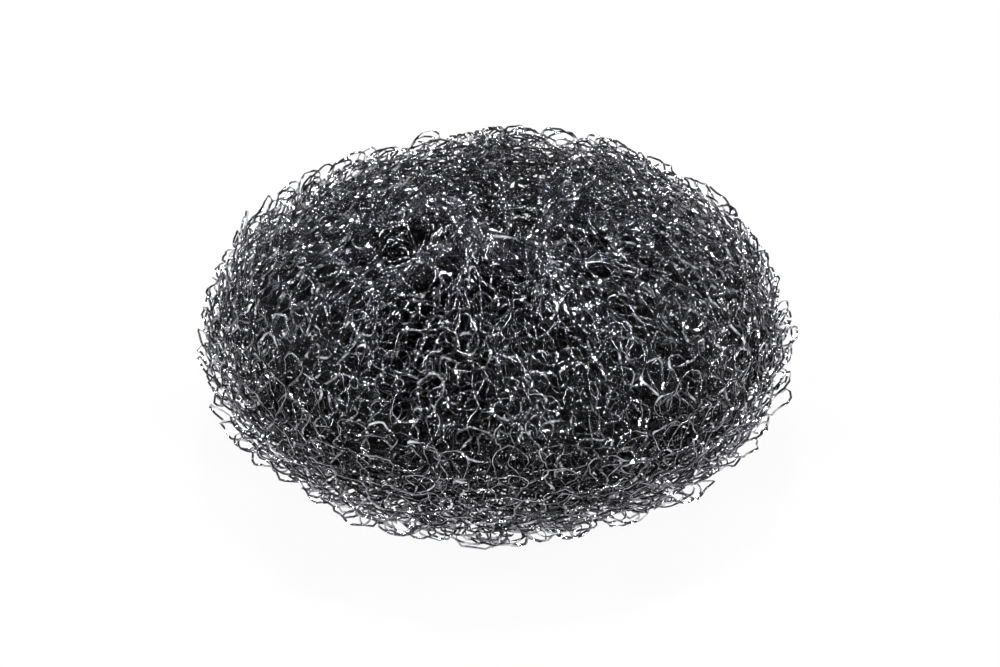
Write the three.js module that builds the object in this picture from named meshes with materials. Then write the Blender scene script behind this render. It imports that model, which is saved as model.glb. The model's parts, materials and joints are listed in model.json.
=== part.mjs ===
// A round scouring pad of knitted flat wire: one long knitted tube, rolled in on itself
// like a stocking into a flattened ring and drawn together in the middle. Millimetres,
// +Z up. The origin is on the floor under the middle of the pad, which lies on its
// flattened underside.
import * as THREE from "three";

// Driving dimensions.
const padDiameter = 95;
const rimAboveFloor = 18.6; // height of the widest line
const crownAboveRim = 22.4; // from the widest line up to the lip of the top dimple
const lipRadius = 11; // top dimple, at its lip
const dimpleDepth = 7; // from the lip down to the middle of the top dimple
const dimpleOffset = 2; // the top dimple sits a little off centre
const footRadius = 19; // outer edge of the flat ring that it rests on
const underDimpleRadius = 11; // inner edge of the same ring
const underDimpleDepth = 5.5;
const pleatCount = 12;
const pleatDepth = 0.9; // half the height of the ridges of the gathers on top
const pleatReach = 12; // how far past the lip these gathers run out
const underPleatDepth = 0.6; // half the height of the ridges in the lower dimple

// Sizes that follow from them.
const padRadius = padDiameter / 2;
const padHeight = rimAboveFloor + crownAboveRim;

// How finely the curves are cut.
const stepsAround = pleatCount * 5;
const stepsOnRim = 9;
const stepsOnWall = 6;

/** A quarter of an ellipse from one angle to another, as profile points. */
function ellipseArc(centreR, centreZ, halfWidth, halfHeight, from, to) {
  return Array.from({ length: stepsOnRim + 1 }, (_, i) => {
    const angle = from + ((to - from) * i) / stepsOnRim;
    return new THREE.Vector2(
      centreR + halfWidth * Math.cos(angle),
      centreZ + halfHeight * Math.sin(angle),
    );
  });
}

/** An S-shaped wall between two levels, as profile points without its first one. */
function dimpleWall(fromR, fromZ, toR, toZ) {
  return Array.from({ length: stepsOnWall }, (_, i) => {
    const share = (i + 1) / stepsOnWall;
    const drop = (1 - Math.cos(Math.PI * share)) / 2;
    return new THREE.Vector2(
      fromR + (toR - fromR) * share,
      fromZ + (toZ - fromZ) * drop,
    );
  });
}

/** The pad's half section, from the axis at the bottom round the rim to the axis on top. */
function padProfile() {
  const quarter = Math.PI / 2;
  const underArc = ellipseArc(
    footRadius,
    rimAboveFloor,
    padRadius - footRadius,
    rimAboveFloor,
    -quarter,
    0,
  );
  const topArc = ellipseArc(
    lipRadius,
    rimAboveFloor,
    padRadius - lipRadius,
    crownAboveRim,
    0,
    quarter,
  );
  return [
    new THREE.Vector2(0, underDimpleDepth),
    ...dimpleWall(0, underDimpleDepth, underDimpleRadius, 0),
    ...underArc,
    ...topArc.slice(1),
    ...dimpleWall(lipRadius, padHeight, 0, padHeight - dimpleDepth),
  ];
}

/** Height that the gathers add: nothing in the middle, most at the crest, nothing beyond. */
function pleatHeight(radius, angle, depth, crest, outer) {
  const inside = THREE.MathUtils.smoothstep(radius, 0, crest);
  const outside = THREE.MathUtils.smoothstep(radius, crest, outer);
  return depth * inside * (1 - outside) * Math.cos(pleatCount * angle);
}

/** The rolled and gathered knit as one closed body. */
function makeKnittedMesh() {
  const shape = new THREE.LatheGeometry(padProfile(), stepsAround);
  shape.rotateX(Math.PI / 2);
  const position = shape.getAttribute("position");
  for (let i = 0; i < position.count; i += 1) {
    const x = position.getX(i);
    const y = position.getY(i);
    const z = position.getZ(i);
    const radius = Math.hypot(x, y);
    const angle = Math.atan2(y, x);
    if (z > rimAboveFloor) {
      const shift = 1 - THREE.MathUtils.smoothstep(radius, lipRadius, padRadius);
      const outer = lipRadius + pleatReach;
      const rise = pleatHeight(radius, angle, pleatDepth, lipRadius, outer);
      position.setXYZ(i, x + dimpleOffset * shift, y, z + rise);
    } else {
      const crest = underDimpleRadius / 2;
      const rise = pleatHeight(radius, angle, underPleatDepth, crest, underDimpleRadius);
      position.setZ(i, z + rise);
    }
  }
  const material = new THREE.MeshStandardMaterial({
    color: 0x4c4d52,
    roughness: 0.32,
    metalness: 1,
  });
  const mesh = new THREE.Mesh(shape, material);
  mesh.name = "knitted_mesh";
  return mesh;
}

const scouringPad = new THREE.Group();
scouringPad.add(makeKnittedMesh());

export default scouringPad;
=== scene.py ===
"""A round scouring pad of knitted flat wire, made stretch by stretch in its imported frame.

One long knitted tube is rolled in on itself like a stocking. Each stretch of the roll is one
piece here, swept from flat wire along the loops of the knit. Metres, +Z up.
"""

import json
import logging
import math
from dataclasses import dataclass, field
from enum import Enum, IntEnum
from typing import Any

import bmesh
import bpy
import numpy as np
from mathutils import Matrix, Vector

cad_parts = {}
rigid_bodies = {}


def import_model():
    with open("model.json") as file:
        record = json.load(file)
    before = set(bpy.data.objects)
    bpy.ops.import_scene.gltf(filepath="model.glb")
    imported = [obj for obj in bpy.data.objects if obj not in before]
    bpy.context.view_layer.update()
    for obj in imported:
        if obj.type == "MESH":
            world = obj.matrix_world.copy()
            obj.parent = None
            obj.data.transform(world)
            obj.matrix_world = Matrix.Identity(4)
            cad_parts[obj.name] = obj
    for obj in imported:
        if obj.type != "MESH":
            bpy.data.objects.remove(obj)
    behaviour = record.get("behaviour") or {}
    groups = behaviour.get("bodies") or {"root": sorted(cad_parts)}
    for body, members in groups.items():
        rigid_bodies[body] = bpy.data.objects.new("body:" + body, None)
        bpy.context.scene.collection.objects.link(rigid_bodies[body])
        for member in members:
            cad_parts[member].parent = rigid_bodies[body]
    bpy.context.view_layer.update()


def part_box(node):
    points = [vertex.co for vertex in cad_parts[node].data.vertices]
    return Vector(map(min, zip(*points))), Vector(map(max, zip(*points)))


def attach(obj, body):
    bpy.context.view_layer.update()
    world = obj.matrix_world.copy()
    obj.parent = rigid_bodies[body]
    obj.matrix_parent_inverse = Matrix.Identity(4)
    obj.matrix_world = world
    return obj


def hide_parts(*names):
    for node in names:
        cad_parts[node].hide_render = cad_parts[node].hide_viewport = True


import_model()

LOG = logging.getLogger("scouring_pad")
NODE = "knitted_mesh"
BODY = "root"
WHITE = (1.0, 1.0, 1.0, 1.0)

# The colour sockets of a Mix node, by their places in its lists.
MIX_FIRST = 6
MIX_SECOND = 7
MIX_RESULT = 2


def smooth_step(value: np.ndarray, low: float, high: float) -> np.ndarray:
    """A value that runs smoothly from 0 at low to 1 at high."""
    share = np.clip((value - low) / (high - low), 0.0, 1.0)
    return share * share * (3.0 - 2.0 * share)


def unit(vectors: np.ndarray) -> np.ndarray:
    """The same directions with a length of 1."""
    return vectors / np.linalg.norm(vectors, axis=1, keepdims=True)


class Draw(IntEnum):
    """What each random draw is for. The number is its seed, or the part that tells it apart."""

    SWAY = 0
    REACH = 1
    RELIEF = 2
    PROUD = 4
    TWIST = 5
    TANGLE_X = 6
    TANGLE_Y = 7
    TANGLE_Z = 8
    DRIFT = 11
    BULGE = 12
    BEND = 13
    KINK = 14
    FOLDS = 15
    CRUMPLE = 16


class Layer(Enum):
    """A stretch of the roll, which is one piece: its first and last turn, steps and light.

    The steps are how many straight ones each loop is cut into. The light is painted shade: the
    base colour of a deeper stretch is scaled down to this share of full brightness, standing in
    for the shade inside the dense pad.
    """

    # The last value, light, is painted shade: the share of full brightness left in each stretch's
    # base colour.
    CROWN = (0.0, 0.66, 26, 1.0)
    BASE = (0.66, 1.0, 17, 1.0)
    SECOND = (1.0, 2.0, 19, 0.7)
    THIRD = (2.0, 3.0, 16, 0.38)
    FOURTH = (3.0, 4.0, 12, 0.22)
    INNER = (4.0, 6.0, 8, 0.12)
    CORE = (6.0, 9.0, 8, 0.1)

    def __init__(self, first: float, last: float, steps: int, light: float) -> None:
        """Names the values."""
        self.first, self.last, self.steps, self.light = first, last, steps, light


@dataclass(frozen=True)
class Waves:
    """Smooth random variation, the same on each run.

    Attributes:
        seed: Which variation it is.
        length: About how far it is from one crest to the next.
        count: How many sine waves are added up.
        least: The smallest wave number drawn, as a share of the usual one.
        most: The largest.
    """

    seed: Draw
    length: float
    count: int = 14
    least: float = 0.6
    most: float = 1.4

    def at(self, points: np.ndarray, channels: int = 1) -> np.ndarray:
        """Reads the variation.

        Args:
            points: Places, one row each.
            channels: How many independent values each place gets.

        Returns:
            One row for each place, with values mostly between -1.5 and 1.5.
        """
        draw = np.random.default_rng(self.seed)
        columns = []
        for _ in range(channels):
            direction = unit(draw.normal(size=(self.count, points.shape[1])))
            number = 2.0 * math.pi / self.length * draw.uniform(self.least, self.most, self.count)
            phase = draw.uniform(0.0, 2.0 * math.pi, self.count)
            wave = np.sin(points @ (direction * number[:, None]).T + phase)
            columns.append(wave.sum(1) * math.sqrt(2.0 / self.count))
        return np.stack(columns, 1)


@dataclass(frozen=True)
class PadSection:
    """The pad's half section, which its outermost turn follows.

    Attributes:
        rim_radius: The radius at the widest part.
        crown_height: The height of the crown, without the ridges on it.
        rim_height: The height of the widest part.
        lip_radius: Where the upper dimple starts.
        dimple_depth: How deep the upper dimple is.
        foot_radius: The outer radius of the flat ring that the pad rests on.
        under_radius: The inner radius of that ring, where the lower dimple starts.
        under_depth: How deep the lower dimple is.
        neck_radius: The radius of the hollow in the middle, between the dimples.
        samples: How many points each stretch of the outline starts with.
        spacing: How far apart the points are once they are spaced evenly.
        rounding: Over about what length a corner is rounded.
    """

    rim_radius: float
    crown_height: float
    rim_height: float = 18.6e-3
    lip_radius: float = 11e-3
    dimple_depth: float = 7e-3
    foot_radius: float = 19e-3
    under_radius: float = 11e-3
    under_depth: float = 5.5e-3
    neck_radius: float = 1.2e-3
    samples: int = 60
    spacing: float = 0.25e-3
    rounding: float = 0.9e-3

    @classmethod
    def from_frame(cls, ridge: float = 0.9e-3) -> "PadSection":
        """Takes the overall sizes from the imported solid.

        Args:
            ridge: How far the ridges of the gathers stand above the crown there.

        Returns:
            The section.
        """
        low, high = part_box(NODE)
        return cls(rim_radius=(high.x - low.x) / 2, crown_height=high.z - ridge)

    def outline(self) -> np.ndarray:
        """The closed outline, from the middle of the neck up, round the rim and back.

        Returns:
            Evenly spaced points as (radius, height) rows.
        """
        share = np.linspace(0.0, 1.0, self.samples)
        ease = (1.0 - np.cos(np.pi * share)) / 2.0
        quarter = share * np.pi / 2.0
        floor = self.crown_height - self.dimple_depth
        middle = (floor + self.under_depth) / 2.0
        straight = np.ones_like(share) * self.neck_radius
        reach = self.lip_radius - self.neck_radius
        under = self.under_radius - self.neck_radius
        top, foot = self.rim_radius - self.lip_radius, self.rim_radius - self.foot_radius
        rise = self.crown_height - self.rim_height
        stretches = [
            (straight, middle + (floor - middle) * share),
            (self.neck_radius + reach * share, floor + self.dimple_depth * ease),
            (self.lip_radius + top * np.sin(quarter), self.rim_height + rise * np.cos(quarter)),
            (self.foot_radius + foot * np.cos(quarter), self.rim_height * (1 - np.sin(quarter))),
            (self.foot_radius + (self.under_radius - self.foot_radius) * share, 0.0 * share),
            (self.under_radius - under * share, self.under_depth * ease),
            (straight, self.under_depth + (middle - self.under_depth) * share),
        ]
        rough = np.concatenate([np.stack(stretch, 1)[:-1] for stretch in stretches])
        return self.rounded(rough)

    def rounded(self, rough: np.ndarray) -> np.ndarray:
        """Spaces a closed outline evenly and rounds its corners."""
        closed = np.concatenate([rough, rough[:1]])
        length = np.concatenate([[0.0], np.cumsum(np.hypot(*np.diff(closed, axis=0).T))])
        count = round(length[-1] / self.spacing)
        place = np.linspace(0.0, length[-1], count, endpoint=False)
        even = np.stack([np.interp(place, length, closed[:, k]) for k in (0, 1)], 1)
        wave = np.fft.fftfreq(count, self.spacing)
        keep = np.exp(-2.0 * (np.pi * wave * self.rounding) ** 2)
        return np.fft.ifft(np.fft.fft(even, axis=0) * keep[:, None], axis=0).real


@dataclass(frozen=True)
class Roll:
    """How the tube is rolled: each turn lies inside the last, round a ring-shaped core.

    Attributes:
        section: The pad's half section.
        turns: How many times the tube goes round.
        shift: How many wales each turn is turned round from the last, so that the columns of
            loops don't line up.
        first_inset: How far inside the section the outermost turn starts.
        step: How far each turn lies inside the last.
        widening: Half of how much that distance grows with each turn.
        looseness: How much further in the inner turns lie than that, most of it by the second.
        core_inner: The inner radius of the ring that the turns close in on.
        core_outer: Its outer radius.
    """

    section: PadSection
    turns: int = round(Layer.CORE.last)
    shift: float = 0.38
    first_inset: float = 0.6e-3
    step: float = 1.25e-3
    widening: float = 0.075e-3
    looseness: float = 0.65e-3
    core_inner: float = 12e-3
    core_outer: float = 31e-3

    def track(self) -> np.ndarray:
        """The spiral that the knit follows, as (radius, height) rows, outermost turn first."""
        outline, section = self.section.outline(), self.section
        place = np.arange(len(outline) * self.turns)
        point = outline[place % len(outline)]
        turn = place / len(outline)
        depth = self.first_inset + self.step * turn + self.widening * turn**2
        depth += self.looseness * (1.0 - np.exp(-turn))
        keep = 1.0 - depth / (section.crown_height / 2.0)
        span = section.rim_radius - section.neck_radius
        share = np.clip((point[:, 0] - section.neck_radius) / span, 0.0, 1.0)
        core_radius = self.core_inner + (self.core_outer - self.core_inner) * share
        core = np.stack([core_radius, np.full(len(place), section.rim_height)], 1)
        return core + keep[:, None] * (point - core)


@dataclass(frozen=True)
class Gauge:
    """How coarse the knit is. A loop's wire has one length, so wide loops are short.

    Attributes:
        wales: How many columns of loops go round the tube.
        widest_wale: The width at which a loop would be pulled flat.
        tallest_course: The height of a very narrow loop.
        least_course_share: The lowest that a course gets, as a share of the tallest.
    """

    wales: int = 42
    widest_wale: float = 11.5e-3
    tallest_course: float = 4.6e-3
    least_course_share: float = 0.35

    def course_height(self, radius: np.ndarray) -> np.ndarray:
        """How far apart the courses are, where the tube has this radius."""
        share = 2.0 * math.pi * radius / self.wales / self.widest_wale
        height = np.sqrt(np.clip(1.0 - share**2, self.least_course_share**2, 1.0))
        return self.tallest_course * height


class KnitTrack:
    """The rolled tube's surface, read by wale and course."""

    def __init__(self, roll: Roll, gauge: Gauge) -> None:
        """Measures the spiral in courses.

        Args:
            roll: The spiral.
            gauge: The knit's size.
        """
        self.roll, self.gauge = roll, gauge
        self.track = roll.track()
        along = np.gradient(self.track, axis=0)
        length = np.hypot(*along.T)
        self.normal = np.stack([-along[:, 1], along[:, 0]], 1) / length[:, None]
        self.course = np.cumsum(length / gauge.course_height(self.track[:, 0]))
        self.turn = np.linspace(0.0, roll.turns, len(self.track))

    def at(self, wale: np.ndarray, course: np.ndarray) -> tuple[np.ndarray, np.ndarray]:
        """Finds places on the surface.

        Args:
            wale: Which column of loops, counted round the tube.
            course: Which row of loops, counted along it.

        Returns:
            The places and the outward directions there.
        """
        shift = self.roll.shift * np.interp(course, self.course, self.turn)
        angle = (wale + shift) * 2.0 * math.pi / self.gauge.wales
        round_it = np.stack([np.cos(angle), np.sin(angle)], 1)
        columns = []
        for flat in (self.track, self.normal):
            outward, upward = (np.interp(course, self.course, flat[:, k]) for k in (0, 1))
            columns.append(np.concatenate([round_it * outward[:, None], upward[:, None]], 1))
        return columns[0], unit(columns[1])


@dataclass(frozen=True)
class FlatWire:
    """The wire that everything is knitted from.

    Attributes:
        width: Its wide side.
        thickness: Its narrow side.
        edge_rounding: How round the narrow sides are shaded, from 0 to 1.
        sharp_angle: Faces that meet at more than this are shaded with an edge between them.
        merge_share: Points closer than this many thicknesses are one point.
        lowest: The least height of its middle line over the floor, in widths.
    """

    width: float = 0.35e-3
    thickness: float = 0.075e-3
    edge_rounding: float = 0.4
    sharp_angle: float = math.radians(60)
    merge_share: float = 0.01
    lowest: float = 0.55

    def profile(self) -> bpy.types.Object:
        """The wire's section as a flat curve, for sweeping."""
        data = bpy.data.curves.new("wire_section", "CURVE")
        data.dimensions = "2D"
        line = data.splines.new("POLY")
        corners = ((-1, -1), (-1, 1), (1, 1), (1, -1))
        line.points.add(len(corners) - 1)
        for point, (side, edge) in zip(line.points, corners):
            point.co = (side * self.thickness / 2, edge * self.width / 2, 0.0, 1.0)
        line.use_cyclic_u = True
        return bpy.data.objects.new("wire_section", data)

    def sweep(self, name: str, path: np.ndarray, wide: np.ndarray) -> bpy.types.Object:
        """Runs the wire along a path.

        Args:
            name: The new piece's name.
            path: Points that the wire's middle passes.
            wide: At each point, the direction of the wire's wide side.

        Returns:
            A closed mesh at the origin.
        """
        step = unit(np.diff(path, axis=0))
        along = unit(np.concatenate([step[:1], step[:-1] + step[1:], step[-1:]]))
        upright = unit(np.array([0.0, 0.0, 1.0]) - along[:, 2:3] * along)
        side = np.cross(along, upright)
        tilt = np.arctan2((wide * side).sum(1), (wide * upright).sum(1))

        data = bpy.data.curves.new(name, "CURVE")
        data.dimensions, data.twist_mode = "3D", "Z_UP"
        section = self.profile()
        data.bevel_mode, data.bevel_object, data.use_fill_caps = "OBJECT", section, True
        line = data.splines.new("POLY")
        line.points.add(len(path) - 1)
        rows = np.concatenate([path, np.ones((len(path), 1))], 1)
        line.points.foreach_set("co", rows.ravel())
        line.points.foreach_set("tilt", tilt)
        curve = bpy.data.objects.new(name + "_line", data)
        collection = bpy.context.scene.collection.objects
        collection.link(section)
        collection.link(curve)
        bpy.context.view_layer.update()
        drawn = curve.evaluated_get(bpy.context.evaluated_depsgraph_get())
        mesh = bpy.data.meshes.new_from_object(drawn)
        for spent in (curve, section):
            bpy.data.objects.remove(spent)
        self.close(mesh)
        self.round_edges(mesh)
        mesh.name = name
        piece = bpy.data.objects.new(name, mesh)
        collection.link(piece)
        return piece

    def close(self, mesh: bpy.types.Mesh) -> None:
        """Joins the wire's cut ends to its sides."""
        work = bmesh.new()
        work.from_mesh(mesh)
        near = self.merge_share * self.thickness
        bmesh.ops.remove_doubles(work, verts=work.verts, dist=near)
        work.to_mesh(mesh)
        work.free()

    def round_edges(self, mesh: bpy.types.Mesh) -> None:
        """Shades the narrow sides as rounded, and the wide sides as flat. Each face has 4 corners."""
        mesh.shade_smooth()
        mesh.set_sharp_from_angle(angle=self.sharp_angle)
        counts = (len(mesh.loops), len(mesh.vertices), len(mesh.vertices))
        flat, soft, place = (np.empty(3 * count) for count in counts)
        mesh.corner_normals.foreach_get("vector", flat)
        mesh.vertex_normals.foreach_get("vector", soft)
        mesh.vertices.foreach_get("co", place)
        index = np.empty(len(mesh.loops), dtype=np.int32)
        mesh.loops.foreach_get("vertex_index", index)
        quads = place.reshape(-1, 3)[index].reshape(-1, 4, 3)
        sides = np.linalg.norm(quads - np.roll(quads, -1, axis=1), axis=2)
        narrow = sides.min(1) < (self.width + self.thickness) / 2
        share = np.repeat(self.edge_rounding * narrow, quads.shape[1])[:, None]
        flat, soft = flat.reshape(-1, 3), soft.reshape(-1, 3)[index]
        mesh.normals_split_custom_set(unit(flat + share * (soft - flat)))


@dataclass(frozen=True)
class LoopShape:
    """One loop of the knit.

    Attributes:
        sway: How far its sides swing each way, in wales.
        reach: How far its ends lie from its middle, in courses.
        relief: How far both ends stand off the surface and the sides sink into it.
        lean: How far one end leans in and the other out.
        uneven: How much these sizes differ from loop to loop.
        roll: How far the wire usually rolls from standing on edge.
        twists: How many times in each loop the roll changes.
        sharp_twist: How much further the strongest of those rolls go.
    """

    sway: float = 0.227
    reach: float = 0.74
    relief: float = 0.5e-3
    lean: float = 0.85e-3
    uneven: float = 0.1
    roll: float = math.radians(23)
    twists: int = 9
    sharp_twist: float = 0.4


@dataclass(frozen=True)
class Disorder:
    """How far the knit strays from an even one, and over about what length each way varies.

    Attributes:
        drift: How far the loops wander over the surface, in wales and courses.
        bulge: How far the surface swells and sinks.
        bend: How far the wire strays in slow bends.
        kink: How far it strays in short kinks.
        proud: How far a stray loop stands out, for each deviation past proud_from.
        proud_from: How unusual a loop is that stands out, in standard deviations.
        tangle: How far the wire strays at the upper dimple's mouth.
        tangles: How many times in each loop the tangle changes.
    """

    drift: float = 0.16
    drift_length: float = 16e-3
    bulge: float = 0.5e-3
    bulge_length: float = 13e-3
    bend: float = 0.22e-3
    bend_length: float = 5e-3
    kink: float = 0.08e-3
    kink_length: float = 1.3e-3
    proud: float = 0.6e-3
    proud_from: float = 1.2
    tangle: float = 0.6e-3
    tangles: int = 3


@dataclass(frozen=True)
class Opening:
    """A gap between the strands, where the inside of the pad shows dark.

    Attributes:
        x: Where its middle is.
        y: Where its middle is.
        radius: Half its width.
        length: How many times longer than wide it is.
        fade: Over how many squared radii the push fades.
        least: The smallest squared distance that counts, so that no push is endless.
        lengthways: How much of the push acts along the gap.
    """

    x: float
    y: float
    radius: float
    length: float = 2.0
    fade: float = 4.0
    least: float = 0.01
    lengthways: float = 0.4

    def apply(self, path: np.ndarray, above: np.ndarray, along: np.ndarray) -> None:
        """Pushes the strands aside.

        Args:
            path: Points on the wire, which are moved.
            above: How far each point takes part, from 0 to 1.
            along: The direction in which the gap is longer than it is wide.
        """
        across = np.array([-along[1], along[0]])
        flat = path[:, :2] - np.array([self.x, self.y])
        long, wide = flat @ along, flat @ across
        far = (long / (self.length * self.radius)) ** 2 + (wide / self.radius) ** 2
        stretch = np.sqrt(1.0 + 1.0 / np.maximum(far, self.least)) - 1.0
        push = above * np.exp(-far / self.fade) * stretch
        sideways = wide[:, None] * across
        endways = self.lengthways * long[:, None] * along
        path[:, :2] += push[:, None] * (sideways + endways)


@dataclass(frozen=True)
class Gather:
    """The folds round the upper dimple, and the ridge where its mouth is pinched shut.

    Attributes:
        section: The pad's half section.
        offset: How far the mouth lies off centre, towards +X.
        fold: How far the folds raise and lower the wire.
        slip: How far they push it round the mouth.
        spread: About how far apart the folds are, in radians.
        reach: How far from the dimple's edge they fade.
        crumple: How far the wire is crumpled near the mouth.
        crumple_length: About how far apart the crumples are.
        crumple_reach: How far from the middle they fade.
        ridge_turn: The ridge's angle from +X.
        ridge_shift: How far beside the mouth's middle the ridge lies.
        ridge_length: How far along the line from the mouth's middle the ridge fades.
        ridge_width: How far to each side it fades.
        ridge_height: How high it is.
        furrow: How deep the furrow on each side is.
        furrow_place: How many ridge widths from the ridge each furrow lies.
        pinch: How much of the distance to the ridge is closed up.
        pinch_reach: Over how many ridge widths that fades.
        openings: The gaps between the strands.
    """

    section: PadSection
    offset: float = 2e-3
    fold: float = 1.9e-3
    slip: float = 2.6e-3
    spread: float = 0.6
    reach: float = 9e-3
    crumple: float = 0.9e-3
    crumple_length: float = 3.6e-3
    crumple_reach: float = 17e-3
    ridge_turn: float = math.radians(37)
    ridge_shift: float = -2.0e-3
    ridge_length: float = 14e-3
    ridge_width: float = 1.7e-3
    ridge_height: float = 1.7e-3
    furrow: float = 1.2e-3
    furrow_place: float = 2.2
    pinch: float = 0.5
    pinch_reach: float = 3.0
    openings: tuple[Opening, ...] = (
        Opening(-7.2e-3, -2.0e-3, 2.0e-3),
        Opening(-10.6e-3, -16.5e-3, 2.2e-3),
        Opening(-6.6e-3, -13.6e-3, 2.2e-3),
        Opening(1.3e-3, -12.2e-3, 1.9e-3),
        Opening(4.6e-3, -6.4e-3, 1.6e-3),
        Opening(12.5e-3, -3.0e-3, 1.9e-3),
        Opening(9.0e-3, -16.5e-3, 1.7e-3),
        Opening(15.5e-3, -12.5e-3, 1.9e-3),
    )

    def slack(self, path: np.ndarray) -> np.ndarray:
        """How loosely the wire lies at each point: 1 at the mouth and 0 well away from it.

        Args:
            path: Points on the wire, one row each.

        Returns:
            One value for each point.
        """
        above = smooth_step(path[:, 2], self.section.rim_height, self.section.crown_height)
        return above * np.exp(-(path[:, :2] ** 2).sum(1) / self.crumple_reach**2)

    def apply(self, path: np.ndarray) -> np.ndarray:
        """Folds, crumples and pinches the wire where it nears the upper dimple.

        Args:
            path: Points on the wire, one row each.

        Returns:
            The same points moved.
        """
        radius = np.hypot(path[:, 0], path[:, 1])
        ring = path[:, :2] / radius[:, None]
        around = np.stack([-ring[:, 1], ring[:, 0], 0.0 * radius], 1)
        upward = np.array([[0.0, 0.0, 1.0]])
        above = smooth_step(path[:, 2], self.section.rim_height, self.section.crown_height)
        near = above * np.exp(-(((radius - self.section.lip_radius) / self.reach) ** 2))
        folds = Waves(Draw.FOLDS, self.spread).at(ring, 2) * near[:, None]
        moved = path + self.slip * folds[:, :1] * around + self.fold * folds[:, 1:] * upward

        loose = self.slack(path)
        crumple = Waves(Draw.CRUMPLE, self.crumple_length).at(path, 3)
        moved += self.crumple * loose[:, None] * crumple
        moved[:, 0] += self.offset * loose
        return self.pinched(moved, above)

    def pinched(self, path: np.ndarray, above: np.ndarray) -> np.ndarray:
        """Draws the mouth together along one line, with a ridge on it and a furrow each side."""
        along = np.array([math.cos(self.ridge_turn), math.sin(self.ridge_turn)])
        across = np.array([-along[1], along[0]])
        flat = path[:, :2] - np.array([self.offset, 0.0])
        gap = flat @ across - self.ridge_shift
        window = above * np.exp(-((flat @ along / self.ridge_length) ** 4))
        close = window * np.exp(-((gap / (self.pinch_reach * self.ridge_width)) ** 2))
        crest = window * np.exp(-((gap / self.ridge_width) ** 2))
        furrow = window * np.exp(-((np.abs(gap) / self.ridge_width - self.furrow_place) ** 2))
        path[:, :2] -= (self.pinch * gap * close)[:, None] * across
        path[:, 2] += self.ridge_height * crest - self.furrow * furrow
        halfway = (self.section.rim_height + self.section.crown_height) / 2.0
        upper = smooth_step(path[:, 2], self.section.rim_height, halfway)
        for opening in self.openings:
            opening.apply(path, upper, along)
        return path


@dataclass(frozen=True)
class Slump:
    """A place on the crown's edge that was pressed in and has not sprung back.

    Attributes:
        x: Where its middle is.
        y: Where its middle is.
        reach: How far from there it fades.
        depth: How far it is pressed in.
        lowest: The height below which no point moves.
        highest: The height above which points move the whole way.
    """

    x: float = -16e-3
    y: float = 33e-3
    reach: float = 13e-3
    depth: float = 1.7e-3
    lowest: float = 8e-3
    highest: float = 22e-3

    def apply(self, path: np.ndarray) -> None:
        """Lowers the points there, and leaves the ones near the floor as they are."""
        away = ((path[:, :2] - np.array([self.x, self.y])) ** 2).sum(1) / self.reach**2
        upper = smooth_step(path[:, 2], self.lowest, self.highest)
        path[:, 2] -= self.depth * upper * np.exp(-away)


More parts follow.
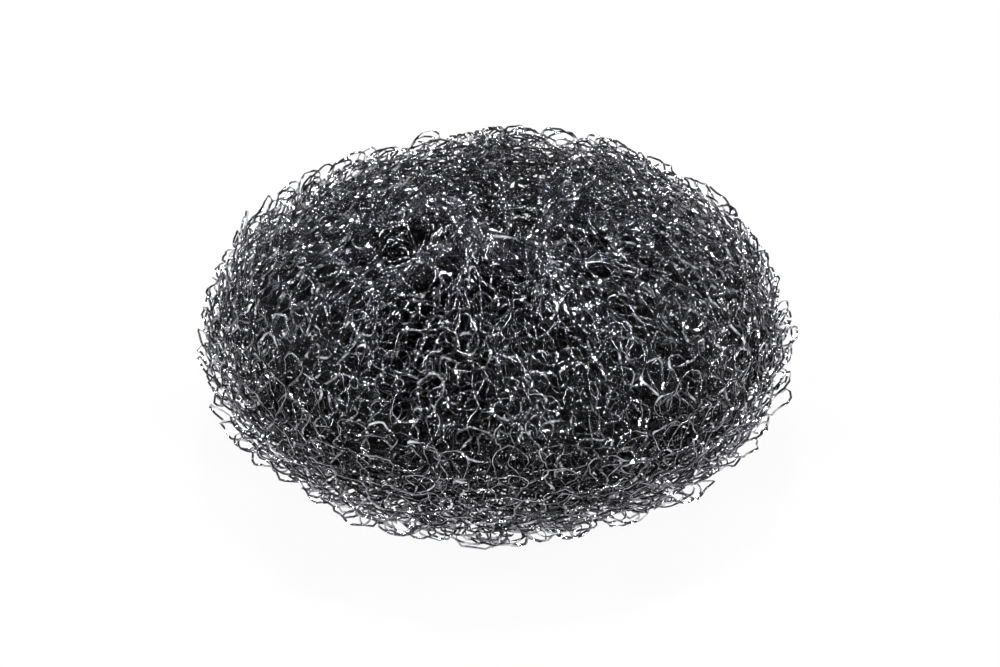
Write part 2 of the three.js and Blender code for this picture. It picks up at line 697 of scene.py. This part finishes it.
@dataclass
class KnittedStretch:
    """One stretch of the roll, as one long wire in loops."""

    track: KnitTrack
    layer: Layer
    wire: FlatWire = field(default_factory=FlatWire)
    loop: LoopShape = field(default_factory=LoopShape)
    disorder: Disorder = field(default_factory=Disorder)
    wire_length: float = 0.0

    def knots(self, loops: int, place: np.ndarray, each: int, purpose: Draw) -> np.ndarray:
        """Random values that change smoothly from loop to loop.

        Args:
            loops: How many loops the stretch has.
            place: Where they are read, counted in loops.
            each: How many values each loop gets.
            purpose: What they are for, which tells one set of values from another.

        Returns:
            One value for each place, spread about 0.
        """
        draw = np.random.default_rng([list(Layer).index(self.layer), purpose])
        values = draw.normal(size=loops * each + 2)
        before = (place * each).astype(int)
        share = smooth_step(place * each - before, 0.0, 1.0)
        return values[before] + share * (values[before + 1] - values[before])

    def line(self) -> tuple[np.ndarray, np.ndarray]:
        """Works out where the wire runs.

        Returns:
            Its middle line and the direction of its wide side at each point.
        """
        wales, ends = self.track.gauge.wales, (self.layer.first, self.layer.last)
        first, last = np.interp(ends, self.track.turn, self.track.course)
        loops = round((last - first) * wales)
        place = np.linspace(0.0, loops, loops * self.layer.steps + 1)
        wale = first * wales + place
        phase = 2.0 * math.pi * wale
        shape, mess = self.loop, self.disorder
        sizes = (Draw.SWAY, Draw.REACH, Draw.RELIEF)
        uneven = [1.0 + shape.uneven * self.knots(loops, place, 1, size) for size in sizes]

        start, _ = self.track.at(wale, wale / wales)
        drift = mess.drift * Waves(Draw.DRIFT, mess.drift_length).at(start, 2)
        across = wale + shape.sway * np.sin(2 * phase) * uneven[0] + drift[:, 0]
        along = wale / wales + shape.reach * np.cos(phase) * uneven[1] + drift[:, 1]
        path, normal = self.track.at(across, along)

        stray = self.knots(loops, place, 1, Draw.PROUD) - mess.proud_from
        swell = Waves(Draw.BULGE, mess.bulge_length).at(start)[:, 0]
        height = shape.relief * np.cos(2 * phase) * uneven[2] - shape.lean * np.cos(phase)
        height += mess.bulge * swell + mess.proud * np.maximum(stray, 0.0)
        path = path + normal * height[:, None]
        path += mess.bend * Waves(Draw.BEND, mess.bend_length).at(path, 3)
        path += mess.kink * Waves(Draw.KINK, mess.kink_length).at(path, 3)

        gather = Gather(self.track.roll.section)
        ways = (Draw.TANGLE_X, Draw.TANGLE_Y, Draw.TANGLE_Z)
        tangle = np.stack([self.knots(loops, place, mess.tangles, way) for way in ways], 1)
        path += mess.tangle * gather.slack(path)[:, None] * tangle
        path = gather.apply(path)
        Slump().apply(path)
        path[:, 2] = np.maximum(path[:, 2], self.wire.width * self.wire.lowest)
        self.wire_length = float(np.linalg.norm(np.diff(path, axis=0), axis=1).sum())
        turning = self.knots(loops, place, shape.twists, Draw.TWIST)
        return path, self.wide_side(path, normal, turning + shape.sharp_twist * turning**3)

    def wide_side(self, path: np.ndarray, normal: np.ndarray, roll: np.ndarray) -> np.ndarray:
        """The wire stands on edge and rolls a little either way as it goes."""
        tangent = unit(np.gradient(path, axis=0))
        upright = unit(normal - (normal * tangent).sum(1, keepdims=True) * tangent)
        side = np.cross(tangent, upright)
        angle = (self.loop.roll * roll)[:, None]
        return upright * np.cos(angle) + side * np.sin(angle)

    def build(self, finish: bpy.types.Material) -> bpy.types.Object:
        """Makes the stretch and hangs it on the frame.

        Args:
            finish: The wire's material.

        Returns:
            The piece.
        """
        path, wide = self.line()
        piece = self.wire.sweep(f"knit_{self.layer.name.lower()}", path, wide)
        piece.data.materials.clear()
        piece.data.materials.append(finish)
        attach(piece, BODY)
        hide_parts(NODE)
        return piece


class Shader:
    """The nodes of a material or of the room, made one at a time."""

    def __init__(self, owner: bpy.types.Material | bpy.types.World) -> None:
        """Starts with no nodes."""
        owner.use_nodes = True
        self.owner, self.tree = owner, owner.node_tree
        self.tree.nodes.clear()

    def node(
        self, kind: str, settings: dict[str, Any], sockets: dict[str | int, Any]
    ) -> bpy.types.bpy_prop_collection:
        """Adds a node.

        Args:
            kind: The node's type.
            settings: Its own settings, which are set first.
            sockets: Values or links, by the socket's name or its place in the list.

        Returns:
            The node's outputs.
        """
        made = self.tree.nodes.new(kind)
        for key, value in settings.items():
            setattr(made, key, value)
        for key, value in sockets.items():
            if isinstance(value, Number):
                value = value.socket
            if isinstance(value, bpy.types.NodeSocket):
                self.tree.links.new(value, made.inputs[key])
            else:
                made.inputs[key].default_value = value
        return made.outputs

    def whitened(self, lit: bpy.types.NodeSocket, white: str, camera: Any, mirrored: float) -> None:
        """Ends at a surface that looks whiter than the light on it makes it.

        Args:
            lit: The surface as it is lit.
            white: The type of the node that is plain white.
            camera: How white it looks to the camera, from 0 to 1.
            mirrored: How white it looks in the wire.
        """
        paint = {"Color": WHITE, "Strength": 1.0}
        glow = self.node(white, {}, paint)[0]
        rays = self.node("ShaderNodeLightPath", {}, {})
        names = ("Is Camera Ray", "Is Glossy Ray", "Is Transmission Ray")
        seen, glossy, through = (Number(self, rays[name]) for name in names)
        share = camera * seen + mirrored * (glossy + through)
        self.finish(self.node("ShaderNodeMixShader", {}, {0: share, 1: lit, 2: glow})[0])

    def finish(self, surface: bpy.types.NodeSocket) -> None:
        """Ends at this surface shader."""
        room = isinstance(self.owner, bpy.types.World)
        kind = "ShaderNodeOutputWorld" if room else "ShaderNodeOutputMaterial"
        self.node(kind, {}, {"Surface": surface})


@dataclass(frozen=True)
class Number:
    """A number that varies over a surface, for shader maths written as expressions."""

    shader: Shader
    socket: bpy.types.NodeSocket

    def maths(self, operation: str, first: Any, second: Any) -> "Number":
        """Adds a Math node for one operation."""
        settings = {"operation": operation}
        made = self.shader.node("ShaderNodeMath", settings, {0: first, 1: second})
        return Number(self.shader, made[0])

    def __add__(self, other: Any) -> "Number":
        """The sum."""
        return self.maths("ADD", self, other)

    def __radd__(self, other: Any) -> "Number":
        """The sum, reflected."""
        return self.maths("ADD", other, self)

    def __sub__(self, other: Any) -> "Number":
        """The difference."""
        return self.maths("SUBTRACT", self, other)

    def __rsub__(self, other: Any) -> "Number":
        """The difference, reflected."""
        return self.maths("SUBTRACT", other, self)

    def __mul__(self, other: Any) -> "Number":
        """The product."""
        return self.maths("MULTIPLY", self, other)

    def __rmul__(self, other: Any) -> "Number":
        """The product, reflected."""
        return self.maths("MULTIPLY", other, self)


@dataclass(frozen=True)
class WireFinish:
    """Zinc-coated flat wire: bright where it was rolled, duller in patches.

    Attributes:
        name: What its materials' names start with.
        dull: Its colour where it is dullest.
        bright: Its colour where it is brightest.
        patch: About how large the patches are.
        grain: About how large the grain within them is.
        detail: How many finer scales of noise each of them has.
        patch_share: How much of the tone follows the patches, and not the grain.
        contrast: How hard the edge between dull and bright is.
        dent_depth: How deep the grain's dents look.
        smoothest: The roughness where the grain is lowest.
        roughness_range: How much the grain adds to it.
    """

    name: str = "galvanised_wire"
    dull: tuple[float, float, float] = (0.11, 0.11, 0.125)
    bright: tuple[float, float, float] = (0.92, 0.92, 0.98)
    patch: float = 2.5e-3
    grain: float = 0.45e-3
    detail: float = 2.0
    patch_share: float = 0.6
    contrast: float = 3.4
    dent_depth: float = 0.1e-3
    smoothest: float = 0.05
    roughness_range: float = 0.12

    def material(self, layer: Layer) -> bpy.types.Material:
        """Makes the finish's material.

        Args:
            layer: How deep the wire lies, which sets how far painted shade darkens its colour.

        Returns:
            The material.
        """
        material = bpy.data.materials.new(f"{self.name}_{layer.name.lower()}")
        shader = Shader(material)
        place = shader.node("ShaderNodeTexCoord", {}, {})["Object"]
        patches = self.noise(shader, place, self.patch)
        grain = self.noise(shader, place, self.grain)
        middle = 0.5
        spots = self.patch_share * patches + (1.0 - self.patch_share) * grain
        shine = middle + self.contrast * (spots - middle)
        tones = (self.dull, self.bright)
        # Painted shade: both tones are scaled down by the layer's light share, darker for deeper
        # stretches.
        dull, bright = ([*(layer.light * part for part in tone), 1.0] for tone in tones)
        ends = {"Factor": shine, MIX_FIRST: dull, MIX_SECOND: bright}
        tone = shader.node("ShaderNodeMix", {"data_type": "RGBA"}, ends)[MIX_RESULT]
        dents = shader.node("ShaderNodeBump", {}, {"Distance": self.dent_depth, "Height": grain})
        looks = {
            "Base Color": tone,
            "Metallic": 1.0,
            "Roughness": self.smoothest + self.roughness_range * grain,
            "Normal": dents[0],
        }
        shader.finish(shader.node("ShaderNodeBsdfPrincipled", {}, looks)[0])
        return material

    def noise(self, shader: Shader, place: bpy.types.NodeSocket, size: float) -> Number:
        """Noise with features of about this size."""
        sockets = {"Vector": place, "Scale": 1.0 / size, "Detail": self.detail}
        return Number(shader, shader.node("ShaderNodeTexNoise", {}, sockets)[0])


@dataclass(frozen=True)
class FloorFinish:
    """A matt pale floor, faintly shaded under the pad and white further away.

    Attributes:
        name: The material's name.
        tone: How pale the floor is as it is lit.
        roughness: How matt it is.
        whiteness: How white it looks to the camera under the pad, from 0 to 1.
        mirrored: How white it looks in the wire.
        shaded_radius: How far from the middle it starts to turn whiter.
        white_radius: From where it is plain white.
    """

    name: str = "pale_floor"
    tone: float = 0.85
    roughness: float = 0.9
    whiteness: float = 0.93
    mirrored: float = 0.14
    shaded_radius: float = 0.07
    white_radius: float = 0.3

    def material(self) -> bpy.types.Material:
        """Makes the finish's material."""
        material = bpy.data.materials.new(self.name)
        shader = Shader(material)
        colour = (self.tone, self.tone, self.tone, 1.0)
        paint = {"Base Color": colour, "Roughness": self.roughness}
        matt = shader.node("ShaderNodeBsdfPrincipled", {}, paint)[0]
        place = shader.node("ShaderNodeTexCoord", {}, {})["Object"]
        away = shader.node("ShaderNodeVectorMath", {"operation": "LENGTH"}, {0: place})["Value"]
        reach = {"From Min": self.shaded_radius, "From Max": self.white_radius}
        ends = {"Value": away, **reach, "To Min": self.whiteness, "To Max": 1.0}
        smooth = {"interpolation_type": "SMOOTHSTEP"}
        share = Number(shader, shader.node("ShaderNodeMapRange", smooth, ends)[0])
        shader.whitened(matt, "ShaderNodeEmission", share, self.mirrored)
        return material


@dataclass(frozen=True)
class Lamp:
    """A soft round lamp that faces the pad, with its power in watts."""

    name: str
    place: tuple[float, float, float]
    width: float
    power: float

    def build(self, target: Vector) -> None:
        """Hangs the lamp and turns it to the target."""
        data = bpy.data.lights.new(self.name, "AREA")
        data.shape, data.size, data.energy = "DISK", self.width, self.power
        lamp = bpy.data.objects.new(self.name, data)
        lamp.location = Vector(self.place)
        lamp.rotation_euler = (target - lamp.location).to_track_quat("-Z", "Y").to_euler()
        bpy.context.scene.collection.objects.link(lamp)


@dataclass(frozen=True)
class Studio:
    """The plain pale room round the pad, its lamps and the camera."""

    elevation: float = math.radians(34.5)
    distance: float = 0.58
    lens: float = 130.0
    target: tuple[float, float, float] = (0.0005, 0.0, 0.0180)
    floor_size: float = 40.0
    floor: FloorFinish = FloorFinish()
    room_level: float = 0.03
    room_mirrored: float = 0.03
    lamps: tuple[Lamp, ...] = (
        Lamp("overhead", (0.0, 0.15, 0.7), 0.13, 2.2),
        Lamp("behind_left", (-0.3, 0.55, 0.42), 0.09, 1.3),
        Lamp("behind_right", (0.35, 0.5, 0.36), 0.09, 1.3),
        Lamp("left", (-0.6, -0.1, 0.36), 0.09, 1.6),
        Lamp("right", (0.6, -0.05, 0.32), 0.09, 1.6),
        Lamp("front_left", (-0.35, -0.5, 0.34), 0.08, 1.6),
        Lamp("front_right", (0.3, -0.55, 0.3), 0.08, 1.6),
    )

    def build_camera(self) -> None:
        """Sets the camera at the photograph's angle."""
        data = bpy.data.cameras.new("camera")
        data.lens = self.lens
        camera = bpy.data.objects.new("camera", data)
        target = Vector(self.target)
        back = Vector((0.0, -math.cos(self.elevation), math.sin(self.elevation)))
        camera.location = target + back * self.distance
        camera.rotation_euler = (-back).to_track_quat("-Z", "Y").to_euler()
        bpy.context.scene.collection.objects.link(camera)
        bpy.context.scene.camera = camera

    def build_room(self) -> None:
        """Lays the floor, lights the room and hangs the lamps."""
        mesh = bpy.data.meshes.new("floor")
        work = bmesh.new()
        bmesh.ops.create_grid(work, x_segments=1, y_segments=1, size=self.floor_size / 2)
        work.to_mesh(mesh)
        work.free()
        mesh.materials.append(self.floor.material())
        floor = bpy.data.objects.new("floor", mesh)
        bpy.context.scene.collection.objects.link(floor)

        world = bpy.data.worlds.new("room")
        shader = Shader(world)
        light = {"Color": WHITE, "Strength": self.room_level}
        dim = shader.node("ShaderNodeBackground", {}, light)[0]
        shader.whitened(dim, "ShaderNodeBackground", 1.0, self.room_mirrored)
        bpy.context.scene.world = world
        for lamp in self.lamps:
            lamp.build(Vector(self.target))
        bpy.context.scene.view_settings.view_transform = "Standard"


@dataclass
class ScouringPad:
    """The whole pad: one knitted tube, stretch by stretch."""

    roll: Roll = field(default_factory=lambda: Roll(PadSection.from_frame()))
    gauge: Gauge = field(default_factory=Gauge)
    finish: WireFinish = field(default_factory=WireFinish)

    def build(self) -> list[bpy.types.Object]:
        """Makes each stretch, and reports the length of the wire.

        Returns:
            The pieces, outermost first.
        """
        track = KnitTrack(self.roll, self.gauge)
        pieces, length = [], 0.0
        for layer in Layer:
            stretch = KnittedStretch(track, layer)
            pieces.append(stretch.build(self.finish.material(layer)))
            length += stretch.wire_length
        LOG.info("wire in all: %.1f m", length)
        return pieces


def main() -> None:
    """Builds the studio and the pad, and reports each piece."""
    logging.basicConfig(level=logging.INFO, format="%(message)s")
    studio = Studio()
    studio.build_camera()
    studio.build_room()
    for piece in ScouringPad().build():
        triangles = sum(len(face.vertices) - 2 for face in piece.data.polygons)
        LOG.info("%s: %d triangles", piece.name, triangles)


if __name__ == "__main__":
    main()
